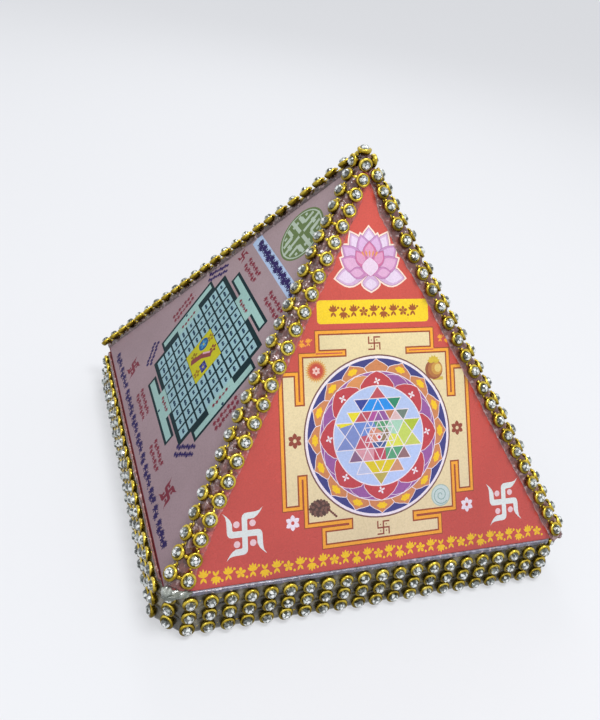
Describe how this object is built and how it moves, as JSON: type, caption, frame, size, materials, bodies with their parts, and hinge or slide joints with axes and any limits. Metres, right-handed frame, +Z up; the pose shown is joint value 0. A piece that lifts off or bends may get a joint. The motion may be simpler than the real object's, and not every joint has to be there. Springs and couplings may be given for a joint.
{
  "type": "stone-trimmed yantra pyramid",
  "caption": "Square votive pyramid on a low plinth, with a laminated print on each sloping face and rows of cup-set stones round the plinth and along the slanted edges.",
  "frame": {"origin": "middle of the flat underside", "axes": "+Z up through the point of the pyramid, -Y out of the front (red) face, +X to the right seen from the front"},
  "size_m": [0.1064, 0.1064, 0.0963],
  "materials": {
    "board": "raw fibreboard, dark brown",
    "red_print": "printed sheet under glossy laminate",
    "grey_print": "printed sheet under glossy laminate",
    "gilt_cups": "bright gold-coloured plating",
    "cut_stone": "clear cut stone, foil backed",
    "clear_glue": "set hot-melt glue, translucent"
  },
  "bodies": {
    "root": {"base_board": "board", "plinth_wall_front": "board", "plinth_wall_right": "board", "plinth_wall_back": "board", "plinth_wall_left": "board", "face_board_front": "board", "face_board_right": "board", "face_board_back": "board", "face_board_left": "board", "printed_sheet_front": "red_print", "printed_sheet_right": "grey_print", "printed_sheet_back": "red_print", "printed_sheet_left": "grey_print", "stone_row_1": "gilt_cups", "stone_row_2": "gilt_cups", "stone_row_3": "gilt_cups", "edge_lace_front_left": "gilt_cups", "edge_lace_front_right": "gilt_cups", "edge_lace_back_left": "gilt_cups", "edge_lace_back_right": "gilt_cups", "apex_cup_front": "gilt_cups", "apex_cup_right": "gilt_cups", "apex_cup_back": "gilt_cups", "apex_cup_left": "gilt_cups", "apex_cup_top": "gilt_cups", "apex_stone_front": "cut_stone", "apex_stone_right": "cut_stone", "apex_stone_back": "cut_stone", "apex_stone_left": "cut_stone", "apex_stone_top": "cut_stone", "corner_glue_front_left": "clear_glue", "corner_glue_front_right": "clear_glue", "apex_glue": "clear_glue"}
  },
  "joints": []
}
